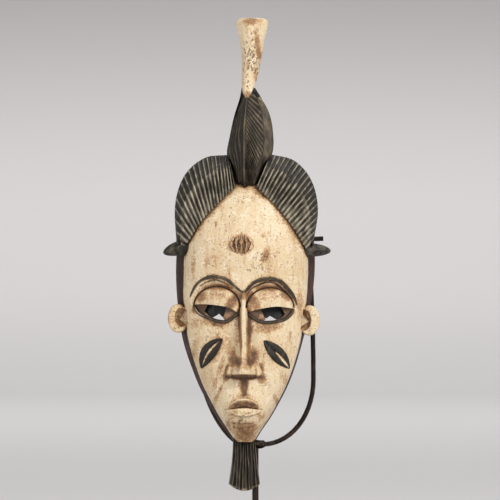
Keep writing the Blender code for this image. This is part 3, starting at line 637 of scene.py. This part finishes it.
# ---- Eyes and brows ----
# Heavy domed lids over narrow slits, each with a crease round it browned as painted shade. Under
# each lid the flat of the eye is cut back and browned as painted shade, a near-black pocket stands
# for the pupil and the shade deep in it, and a small three-sided hole at its foot goes right through.
# The brows are two blackened ridges each, with a light line between.
EYES = {"left": {"lid": (-14.2, 92.4, 11.5, 10.1, 6.0),
                 "upper": [(-26.0, 93.6), (-19.0, 93.7), (-8.9, 92.3), (-3.6, 89.5)],
                 "lower": [(-26.0, 93.2), (-21.6, 88.3), (-10.6, 84.9), (-3.6, 89.1)],
                 "pupil": (0.34, 0.64), "hole": (0.505, 0.67)},
        "right": {"lid": (12.3, 92.0, 11.8, 9.9, 6.0),
                  "upper": [(24.2, 91.5), (15.5, 92.6), (6.4, 91.2), (1.0, 89.5)],
                  "lower": [(24.2, 91.1), (19.6, 86.1), (8.6, 84.7), (1.0, 89.1)],
                  "pupil": (0.25, 0.61), "hole": (0.475, 0.635)}}
# Line of the ridge, the thin line under it, and half the ridge's width
BROWS = {"left": ([(-27.8, 97.2), (-25.6, 101.9), (-22.5, 105.4), (-17.9, 107.3), (-13.7, 107.3),
                   (-9.5, 106.1), (-6.0, 103.3), (-3.2, 100.9), (-1.1, 99.7)],
                  [(-22.8, 102.7), (-20.0, 104.4), (-16.6, 105.6), (-13.2, 105.4), (-10.8, 104.4),
                   (-8.8, 103.4)], 0.75),
         "right": ([(-0.5, 99.5), (1.4, 101.7), (3.9, 104.2), (7.7, 105.9), (12.6, 106.5), (17.2, 105.2),
                    (20.7, 102.1), (24.0, 98.0), (25.9, 93.2)],
                   [(0.9, 98.3), (2.6, 100.9), (5.8, 103.0), (10.8, 104.8), (14.4, 104.3), (17.9, 101.9),
                    (21.4, 98.8), (23.7, 96.4)], 0.95)}
lid_paint = cream_paint("lid_paint", grime_and_shade=0.04, shade=0.97)
# Painted shade: the flat under the lid is browned well past the face.
eye_flat = cream_paint("eye_flat", grime_and_shade=0.9)
# Near-black for the pupil and for the shade deep in its pocket and hole.
pocket_black = bare_wood("pocket_black", (22, 24, 25), (12, 13, 14))
# Painted shade with some grime: the crease round each lid is browned.
crease_brown = cream_paint("crease_brown", grime_and_shade=0.9)
rim_dark = blackened("rim_dark", (66, 58, 48), (106, 94, 76), (158, 142, 114), -0.25)
brow_black = blackened("brow_black", (60, 52, 43), (120, 106, 85), (168, 150, 120), 0.2)

for side, eye in EYES.items():
    across, height, wide, tall, below = eye["lid"]
    rings = []
    for turn in steps(finely(22)):
        bow = math.sin(math.pi / 2 * max(turn, 0.012))
        ring = []
        for spoke in range(finely(88)):
            angle = math.tau * spoke / finely(88)
            x = across + wide * bow * math.cos(angle)
            z = height + (tall if angle < math.pi else below) * bow * math.sin(angle)
            ring.append((x, face_depth(x, z) + 4.6 * math.sqrt(max(1 - bow * bow, 0)) - 0.2, z))
        rings.append(ring)
    rings.append([(x, d - 3, z) for x, d, z in rings[-1]])
    carve(loft(f"lid_{side}", rings, lid_paint))
    carve(band(f"crease_{side}", lambda t, a=across, h=height, w=wide + 0.1, l=tall + 0.1: Vector(
        (a - w * math.cos(math.pi * t), h + l * math.sin(math.pi * t))),
               lambda t: 0.42 + 0.1 * math.sin(9 * t), [(-1, 0.3), (0, -0.6), (1, 0.3)], 90, crease_brown,
               buried=-30.0), "DIFFERENCE")
for side, eye in EYES.items():
    rings = []
    for t in steps(finely(48)):
        top, low = along(eye["upper"], t), along(eye["lower"], t)
        ring = [(p.x, face_depth(p.x, p.y) + 0.6 - 1.1 * s, p.y)
                for s in steps(6) for p in [top.lerp(low, s)]]
        rings.append(ring + [(low.x, OUTSIDE, low.y), (top.x, OUTSIDE, top.y)])
    carve(loft(f"opening_{side}", rings, eye_flat), "DIFFERENCE")

for side, (line, under, thick) in BROWS.items():
    faint = thick < 0.9
    carve(band(f"brow_{side}", lambda t, p=line: along(p, t),
               lambda t, w=thick: 0.25 + w * math.sin(math.pi * t) ** 0.5,
               [(-1, -0.4), (-0.55, 0.7), (-0.1, 0.45), (0.1, 0.45), (0.55, 0.7), (1, -0.4)],
               110, brow_black, uneven=0.3))
    carve(band(f"brow_line_{side}", lambda t, p=under: along(p, t),
               lambda t, w=0.22 if faint else 0.52: 0.1 + w * abs(math.sin(math.pi * t)) ** 0.6,
               [(-1, -0.3), (-0.4, 0.35), (0.4, 0.35), (1, -0.3)],
               90, brow_black, uneven=1.0 if faint else 0.4))

# ---- Scars ----
# A leaf-shaped scar on each cheek with a slit along it, and five upright ones close together
# on the forehead. The leaves are blackened, their slits left cream; the five are brown.
scar_black = blackened("scar_black", (39, 36, 31), (98, 91, 78), (166, 154, 130), 0.26)
slit_paint = cream_paint("slit_paint", grime_and_shade=0.1)
keloid_brown = cream_paint("keloid_brown", grime_and_shade=0.42)
LEAVES = {"left": ((-11.4, 76.5), (-22.1, 61.4), 3.9, -1.8), "right": ((9.1, 75.6), (22.2, 61.4), 3.7, 0.5)}
KELOIDS = ((-6.2, 3.9), (-4.2, 4.8), (-2.0, 5.6), (0.2, 4.8), (2.3, 3.9))
KELOID_HEIGHT = 123.6

for side, (start, end, half, bow) in LEAVES.items():
    first, last = Vector(start), Vector(end)
    out = (last - first).orthogonal().normalized() * bow
    mid = lambda t, a=first, b=last, o=out: a.lerp(b, t) + o * math.sin(math.pi * t)
    carve(band(f"leaf_{side}", mid, lambda t, w=half: 0.1 + w * math.sin(math.pi * t) ** 0.75,
               [(-1, -0.4), (-0.86, 0.7), (-0.45, 1.1), (-0.16, 0.7), (0.0, 0.2), (0.16, 0.7), (0.45, 1.1),
                (0.86, 0.7), (1, -0.4)], 70, scar_black, uneven=0.06))
    low, high = (0.10, 0.90) if side == "left" else (0.40, 0.96)
    carve(band(f"slit_{side}", lambda t, m=mid, a=low, b=high: m(a + (b - a) * t),
               lambda t: 0.1 + 1.1 * math.sin(math.pi * t) ** 0.7,
               [(-1, 0.1), (-0.5, 0.62), (0.5, 0.62), (1, 0.1)], 60, slit_paint, uneven=0.9))
for index, (across, half) in enumerate(KELOIDS):
    foot, bow = 0.7 * across - 0.6, 0.5 * (across + 2.0)
    carve(band(f"keloid_{index}",
               lambda t, f=foot, b=bow, h=half: Vector((f + b * math.sin(math.pi * t),
                                                        KELOID_HEIGHT + h * (2 * t - 1))),
               lambda t: 0.1 + 1.0 * math.sin(math.pi * t) ** 0.7,
               [(-1, -0.6), (-0.5, 0.8), (0, 1.2), (0.5, 0.8), (1, -0.6)], 36, keloid_brown, uneven=1.3))

# ---- Ears ----
# Small round ears that face forward, each with a deep bowl and a wedge before it. The bowl
# is browned in its hollow as painted shade with some grime, and the wedge is kept light.
EARS = {"left": (-1, (33.6, 86.5, 5.5, 7.25), (31.9, 87.0, 3.6, 4.7),
                 ((29.6, 91.4), (33.0, 86.2), (28.0, 81.8))),
        "right": (1, (31.9, 85.5, 5.6, 7.7), (29.4, 85.6, 3.6, 5.2),
                  ((28.2, 89.2), (31.8, 85.0), (27.2, 81.8)))}
ear_paint = cream_paint("ear_paint", grime_and_shade=0.1)
bowl_brown = cream_paint("bowl_brown", grime_and_shade=-0.1)
wedge_cream = cream_paint("wedge_cream", grime_and_shade=-0.7)
wedges = []
for name, (side, outline, bowl, wedge) in EARS.items():

    def disc(oval, grow, depth, side=side):
        """One uneven oval section of the ear at a depth."""
        x, z, wide, tall = oval
        ring = []
        for turn in range(finely(64)):
            angle = math.tau * turn / finely(64)
            c, s = math.cos(angle), math.sin(angle)
            lump = grow * (1 + 0.05 * noise.noise(Vector((c * 1.5, s * 1.5, side))))
            ring.append((side * (x + wide * lump * c), depth, z + tall * lump * s))
        return ring

    carve(loft(f"ear_{name}", [disc(outline, grow, depth) for grow, depth in (
        (0.8, 3.8), (0.92, 4.3), (0.99, 5.4), (0.99, 7), (0.99, 9), (0.99, 10.4), (0.965, 11.2),
        (0.9, 11.7), (0.8, 11.8))], ear_paint))
    carve(loft(f"bowl_{name}", [disc(bowl, grow, depth) for grow, depth in (
        (0.6, 8.7), (0.8, 8.8), (0.92, 9.4), (1.0, 10.6), (1.1, 14))], bowl_brown), "DIFFERENCE")
    (top_x, top_z), (tip_x, tip_z), (low_x, low_z) = wedge
    corners = ((top_x - 2, top_z), (top_x, top_z), (tip_x, tip_z), (low_x, low_z), (low_x - 2, low_z))
    sunk = [(side * (x * 0.75 + 0.25 * 28.6), 10.5, z * 0.75 + 0.25 * tip_z) for x, z in corners]
    straight = [[(side * x, depth, z) for x, z in corners] for depth in (6, 11.2)]
    wedges.append(loft(f"wedge_{name}", straight + [sunk], wedge_cream))

# ---- Hollow back ----
# The back is hollowed with an adze to a shell, so the mask is light, and left as raw wood. The
# rim is flat. The pupils' pockets stop in the shell and only the small holes go through.
BEHIND = -3  # a depth behind the rim, where cuts from the back start
rings = []
for t in steps(finely(60)):
    height = 31 + t * 126
    _, _, left, right, _, crown = level(height)
    end = 1 - 0.45 * abs(2 * t - 1) ** 6
    middle, half = (left + right) / 2, ((right - left) / 2 - 0.55 * WALL) * end
    ring = [(middle - half, BEHIND, height)]
    for turn in steps(finely(48)):
        angle = math.pi * turn
        across = middle - half * math.cos(angle)
        adze = 0.35 * abs(math.sin(across / 2.4 + height / 9)) + knife(across, height, 6, 0.4)
        ring.append((across, max((crown - WALL - 2) * end * math.sin(angle) ** 0.8 - adze, 0), height))
    ring.append((middle + half, BEHIND, height))
    rings.append(ring)
carve(loft("hollow", rings, inner_wood), "DIFFERENCE")
for wedge in wedges:
    carve(wedge)
for side, eye in EYES.items():
    carve(band(f"lower_lid_{side}", lambda t, p=eye["lower"]: along(p, t) + Vector((0, -0.1)),
               lambda t: 0.95, [(-1, -0.4), (-0.4, 0.9), (0.4, 0.9), (1, -0.5)], 70, rim_dark, uneven=0.15))
for side, eye in EYES.items():
    start, end = eye["pupil"]
    rings = []
    for t in steps(finely(24)):
        top, low = (along(eye[edge], start + t * (end - start)) for edge in ("upper", "lower"))
        sill = top.lerp(low, 0.62 + 0.25 * math.sin(math.pi * t))
        floor = face_depth(top.x, top.y) - 2.8
        rings.append([(top.x, floor, top.y - 0.2), (sill.x, floor, sill.y), (sill.x, OUTSIDE, sill.y),
                      (top.x, OUTSIDE, top.y - 0.2)])
    carve(loft(f"pupil_{side}", rings, pocket_black), "DIFFERENCE")
    start, end = eye["hole"]
    rings = []
    for t in steps(finely(16)):
        low = along(eye["lower"], start + t * (end - start)) + Vector((0, 0.9))
        roof = low.y + 0.3 + (2.6 if side == "left" else 2.1) * (1 - abs(2 * t - 1))
        rings.append([(low.x, BEHIND, roof), (low.x, BEHIND, low.y), (low.x, OUTSIDE, low.y),
                      (low.x, OUTSIDE, roof)])
    carve(loft(f"hole_{side}", rings, pocket_black), "DIFFERENCE")
corners = ((-60, -20), (60, -20), (60, 260), (-60, 260))
rim_wood = bare_wood("rim_wood", (92, 66, 50), (60, 43, 34))
carve(loft("back", [[(x, depth, z) for x, z in corners] for depth in (-6, 0)], rim_wood), "DIFFERENCE")


# ---- Age and painted shade ----
# Every hollow is browned and darkened and every edge lightened: partly grime and rubbing left by
# handling, partly painted shade in the hollows and painted highlight on the edges. Short feelers
# from each point, outwards and inwards, tell how enclosed it is and how sharp an edge it lies on.
# Ovals tell where grime and painted shade lie on the front and where the paint has lost its grains.
# Ovals are across, height, half width, half height, degrees clockwise, strength.
STAINS_AND_SHADE = [
    # Painted shade with some brown grime: the strips down both sides of the nose, the band under its tip,
    # the groove below it and the marks beside its wings.
    (-5.0, 65.6, 4.4, 7.0, -30, 0.85), (-3.4, 65.0, 2.2, 3.6, 0, 0.5), (3.4, 66.8, 4.6, 8.8, 26, 0.85),
    (2.4, 65.0, 2.2, 3.6, 0, 0.5), (1.8, 80.0, 1.9, 18.0, 2, 1.0),
    (-2.7, 80.0, 1.2, 19.0, -3, 0.95), (-0.6, 53.0, 3.6, 6.5, 0, 1.1), (-0.8, 57.5, 10.6, 1.9, 0, 2.2),
    (-9.8, 57.0, 3.0, 3.4, 0, 0.9), (8.6, 56.0, 3.4, 4.4, 0, 0.8), (-0.4, 48.3, 11.0, 2.2, 0, 0.25),
    # Painted shade and brown grime on the chin below the lip and under the eyes.
    (-0.4, 32.4, 12.0, 4.8, 0, 0.66), (0.0, 27.6, 8.0, 5.0, 0, 0.66), (-15.0, 84.4, 9.0, 3.2, 8, 0.6),
    (10.0, 81.6, 13.0, 4.0, -4, 0.62), (-14.6, 46.0, 1.8, 15.0, 22, 0.5), (-13.0, 60.0, 2.0, 16.0, 20, 0.4),
    (-14.9, 133.8, 0.7, 3.0, 0, 0.9), (9.8, 117.4, 2.6, 7.4, 14, 0.6), (9.0, 128.0, 2.0, 2.2, 0, 0.45),
    (-2.2, 123.8, 8.0, 7.4, 0, 0.22), (16.4, 43.6, 1.6, 8.0, -20, 0.5), (-1.0, 98.2, 2.6, 3.4, 0, 0.8),
    (-26.0, 112.0, 2.2, 14.0, 0, 0.35), (-9.0, 158.0, 6.0, 6.0, 30, 0.4), (8.0, 150.0, 5.0, 6.0, -40, 0.5),
    (27.0, 96.0, 3.0, 7.0, 0, 0.5), (22.6, 76.0, 1.0, 6.0, 0, 0.5), (9.0, 66.0, 0.7, 5.0, 0, 0.5),
    (24.0, 70.0, 0.8, 4.0, -10, 0.5), (-24.0, 84.0, 6.0, 5.0, 0, 0.35), (28.0, 88.0, 3.4, 9.0, 0, 0.4),
    # On the horn: painted shade along the cap and down its right side, and brown grime at its foot.
    (3.0, 235.2, 8.0, 2.4, 0, 0.7), (6.4, 222, 2.4, 12.0, -8, 0.75), (1.0, 198.4, 3.0, 3.0, 0, 0.7),
    (-1.0, 214, 1.2, 9.0, 0, 0.35), (-0.7, 43.9, 7.4, 2.6, 0, 1.05), (-6.2, 42.9, 3.6, 1.5, -14, 0.8),
    (4.9, 42.9, 3.6, 1.5, 14, 0.8), (-1.6, 39.4, 6.0, 1.6, 0, 0.2), (-13.0, 76.0, 9.0, 15.0, 0, 0.3),
    # Beside the nose wings: painted shade.
    (-9.2, 61.6, 1.3, 3.6, 16, 0.9), (8.2, 62.4, 1.3, 3.6, -16, 0.9), (1.4, 214.0, 1.6, 4.0, 10, 0.6),
    (4.8, 209.0, 1.8, 5.0, 0, 0.6),
    # Painted shade and brown patina in the eye sockets, at their ends and under the brows, and at the eye
    # corners.
    (-6.6, 94.8, 3.6, 8.5, 36, 0.95), (-22.6, 97.0, 5.0, 3.4, -38, 0.8), (-14.0, 102.2, 11.0, 2.4, 0, 0.75),
    (4.2, 94.8, 3.6, 9.0, -32, 0.95), (20.6, 98.0, 5.0, 3.4, 38, 0.75), (12.0, 101.8, 11.0, 2.2, 0, 0.75),
    (-14.0, 97.6, 9.0, 4.0, 0, 0.34), (12.0, 97.6, 9.0, 4.0, 0, 0.42),
    (-23.5, 91.0, 5.5, 3.0, 0, 1.1), (21.6, 89.6, 5.0, 3.0, 0, 0.9), (4.2, 88.6, 3.6, 3.0, 0, 1.0),
    (-26.0, 70.0, 3.0, 14.0, 20, 0.3), (20.0, 56.0, 2.4, 12.0, -22, 0.35), (-17.0, 116.0, 7.0, 9.0, 0, 0.15),
    (-7.0, 37.0, 3.0, 8.0, 30, 0.35), (8.0, 38.0, 3.0, 8.0, -30, 0.3)]
PITTED = [
    (8.0, 116.0, 7.0, 7.0, 20, 1.0), (-1.8, 33.4, 10.0, 4.8, 0, 1.4), (9.0, 55.0, 6.0, 5.0, 0, 0.9),
    (-10.2, 56.0, 5.0, 4.0, 0, 0.9), (-12.0, 138.0, 12.0, 8.0, 0, 0.3), (-14.0, 83.0, 10.0, 3.0, 0, 0.6),
    (3.0, 111.0, 9.0, 3.0, 10, 0.8), (6.0, 148.0, 5.0, 5.0, 0, 0.6), (-24.0, 104.0, 6.0, 12.0, 0, 0.3),
    (4.5, 216, 5.0, 20.0, -8, 1.4), (0.5, 212, 3.0, 20.0, -4, 1.0), (-0.6, 43.6, 9.0, 3.0, 0, 1.0),
    (0, 39, 8, 3, 0, 0.7), (-34, 86, 9, 9, 0, 0.5), (34, 85, 9, 9, 0, 0.5)]


def gathered(spots, ovals):
    """Sum of oval marks at each point, full in the middle of an oval and nothing at its edge."""
    total = np.zeros(len(spots))
    for across, height, wide, tall, turn, strength in ovals:
        east, north = spots[:, 0] - across, spots[:, 2] - height
        c, s = math.cos(math.radians(turn)), math.sin(math.radians(turn))
        reach = np.hypot((east * c - north * s) / wide, (east * s + north * c) / tall)
        share = np.clip((1 - reach) / 0.75, 0, 1)
        total += strength * share * share * (3 - 2 * share)
    return total


def feel(solid, reach, outwards, count):
    """Share of short feelers from each point that meet the wood, the near ones counting more."""
    mesh = solid.data
    tree = BVHTree.FromPolygons([v.co for v in mesh.vertices], [p.vertices for p in mesh.polygons])
    golden = math.pi * (3 - math.sqrt(5))
    spread = []
    for i in range(count):
        lift = 0.12 + 0.88 * (i + 0.5) / count
        wide = math.sqrt(1 - lift * lift)
        spread.append(Vector((wide * math.cos(i * golden), wide * math.sin(i * golden), lift)))
    values = np.zeros(len(mesh.vertices))
    for vertex in mesh.vertices:
        normal = vertex.normal if outwards else -vertex.normal
        turn = normal.to_track_quat("Z", "Y")
        start = vertex.co + normal * 0.00006
        total = 0.0
        for feeler in spread:
            hit = tree.ray_cast(start, turn @ feeler, reach)
            if hit[3] is not None:
                total += 1 - hit[3] / reach
        values[vertex.index] = total / count
    edges = np.array([edge.vertices for edge in mesh.edges])
    weight = np.bincount(edges.ravel(), minlength=len(values)) + 1.0
    for _ in range(1):
        near = values.copy()
        np.add.at(near, edges[:, 0], values[edges[:, 1]])
        np.add.at(near, edges[:, 1], values[edges[:, 0]])
        values = near / weight
    return values


feelers = 14
# The first value darkens the hollows in the finishes, as painted shade and grime; the second lightens sharp
# edges, as painted highlight and wear.
for mark, outwards, reach, gain in (("hollow_shade_and_grime", True, 0.0042, 1.7), ("edge", False, 0.0016, 1.6)):
    layer = mask.data.attributes.new(mark, "FLOAT", "POINT")
    layer.data.foreach_set("value", np.clip(feel(mask, reach, outwards, feelers) * gain, 0, 1))
spots = np.array([v.co for v in mask.data.vertices])
spots = (spots - np.array([MASK_ASIDE, 0, BEARD_TIP])) / MILLIMETRE
for mark, ovals in (("stain_and_shade", STAINS_AND_SHADE), ("pitting", PITTED)):
    layer = mask.data.attributes.new(mark, "FLOAT", "POINT")
    layer.data.foreach_set("value", gathered(spots, ovals))
bpy.ops.object.select_all(action="DESELECT")
mask.select_set(True)
bpy.context.view_layer.objects.active = mask
bpy.ops.object.shade_smooth_by_angle(angle=math.radians(38))
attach(mask, "root")
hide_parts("mask")

# ---- Stand ----
# A square steel plate, a round upright to the back of the beard, and two thinner rods bent up
# from it that cradle the mask's edge and end at a crossbar behind the temples. All the steel
# is blackened and waxed, and the joint where the rods leave the upright is brazed.
steel = Finish("blackened_steel", 0.42, 0.85)
blotch, fleck = steel.grain(140, detail=4), steel.grain(1800, detail=3)
steel.lay(colour(52, 44, 40))
steel.lay(colour(78, 62, 50), steel.rise(blotch, 0.45, 0.7, 0.0, 0.7))
steel.lay(colour(30, 27, 26), steel.rise(fleck, 0.5, 0.7, 0.0, 0.7))
blackened_steel = steel.close(steel.rise(blotch, 0.35, 0.7, 0.32, 0.55),
                              steel.sum("MULTIPLY", fleck, 0.6), 0.00015)
for name in ("base", "upright", "arm_right", "arm_left", "crossbar"):
    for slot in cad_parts[name].material_slots:
        slot.material = blackened_steel

bpy.ops.mesh.primitive_ico_sphere_add(subdivisions=4, radius=0.5, location=(0, 0, 0))
weld = bpy.context.object
weld.name = "brazed_joint"
for vertex in weld.data.vertices:
    lump = 1 + 0.22 * noise.noise(vertex.co * 3.1) + 0.05 * noise.noise(vertex.co * 11)
    vertex.co = Vector((vertex.co.x * 0.0088, vertex.co.y * 0.0050, vertex.co.z * 0.0042)) * lump
weld.location = (0.0016, 0, 0.0572)
bpy.ops.object.transform_apply(location=True, rotation=False, scale=False)
bpy.ops.object.shade_smooth()
weld.data.materials.append(blackened_steel)
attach(weld, "root")

# ---- Room ----
# A pale grey seamless backdrop that curves up far behind the stand, painted lighter just above
# the floor and darker towards the top as painted light and shade, a large soft light from the upper
# right, a weaker one from the left, one for the paper and a little from all round.
FLOOR_WIDTH = 12.0
FLOOR_DEPTH = 9.0
FLOOR_BACK = 3.4  # far behind the stand
SWEEP_STEPS = 12
SWEEP_STEP = 0.105
bpy.ops.mesh.primitive_plane_add(size=1, location=(0, 0, 0))
room = bpy.context.object
room.name = "backdrop"
room.scale = (FLOOR_WIDTH, FLOOR_DEPTH, 1)
room.location = (0, FLOOR_BACK - FLOOR_DEPTH / 2, 0)
bpy.ops.object.transform_apply(location=True, rotation=False, scale=True)
bpy.ops.object.mode_set(mode="EDIT")
bpy.ops.mesh.select_all(action="DESELECT")
bpy.ops.object.mode_set(mode="OBJECT")
for edge in room.data.edges:
    edge.select = all(room.data.vertices[v].co.y > 0.5 for v in edge.vertices)
bpy.ops.object.mode_set(mode="EDIT")
bpy.ops.mesh.select_mode(type="EDGE")
for rise_step in range(SWEEP_STEPS):
    turn = math.radians(90 * (rise_step + 0.5) / SWEEP_STEPS)
    bpy.ops.mesh.extrude_region_move(TRANSFORM_OT_translate={
        "value": (0, SWEEP_STEP * math.cos(turn), SWEEP_STEP * math.sin(turn))})
bpy.ops.mesh.extrude_region_move(TRANSFORM_OT_translate={"value": (0, 0, 3.0)})
bpy.ops.object.mode_set(mode="OBJECT")
bpy.ops.object.shade_smooth()
paper = Finish("paper", 0.9)
up = paper.nodes.new("ShaderNodeSeparateXYZ")
paper.links.new(paper.spot, up.inputs[0])
# Painted light and shade on the paper: lighter a little above the floor, darker towards the top.
paper.lay(colour(208, 206, 206))
paper.lay(colour(216, 213, 213), paper.rise(up.outputs[2], 0.02, 0.12))
paper.lay(colour(152, 149, 150), paper.rise(up.outputs[2], 0.18, 0.60))
paper.close(0.9, paper.grain(900), 0.00005)
room.data.materials.append(paper.material)


def lamp(name, place_at, aim, size, power, tint):
    """A square soft light that looks at a point."""
    bpy.ops.object.light_add(type="AREA", location=place_at)
    light = bpy.context.object
    light.name = name
    light.rotation_euler = (Vector(aim) - Vector(place_at)).to_track_quat("-Z", "Y").to_euler()
    light.data.size = size
    light.data.energy = power
    light.data.color = tint


lamp("key", (0.95, -1.15, 0.90), (0, 0, 0.15), 0.55, 20.5, (1.0, 0.98, 0.95))
lamp("fill", (-1.1, -0.9, 0.5), (0, 0, 0.15), 0.9, 7.5, (1.0, 0.99, 0.97))
lamp("back", (0.2, 0.35, 1.3), (0, 0.8, 0.1), 0.8, 5, (1.0, 1.0, 1.0))
lamp("paper_light", (0, 2.6, 2.0), (0, 3.5, 0.0), 2.0, 33, (1.0, 1.0, 1.0))
world = bpy.data.worlds.new("room_light")
world.use_nodes = True
world.node_tree.nodes["Background"].inputs["Color"].default_value = (0.95, 0.94, 0.94, 1)
world.node_tree.nodes["Background"].inputs["Strength"].default_value = 0.42
bpy.context.scene.world = world
bpy.context.scene.view_settings.view_transform = "Standard"
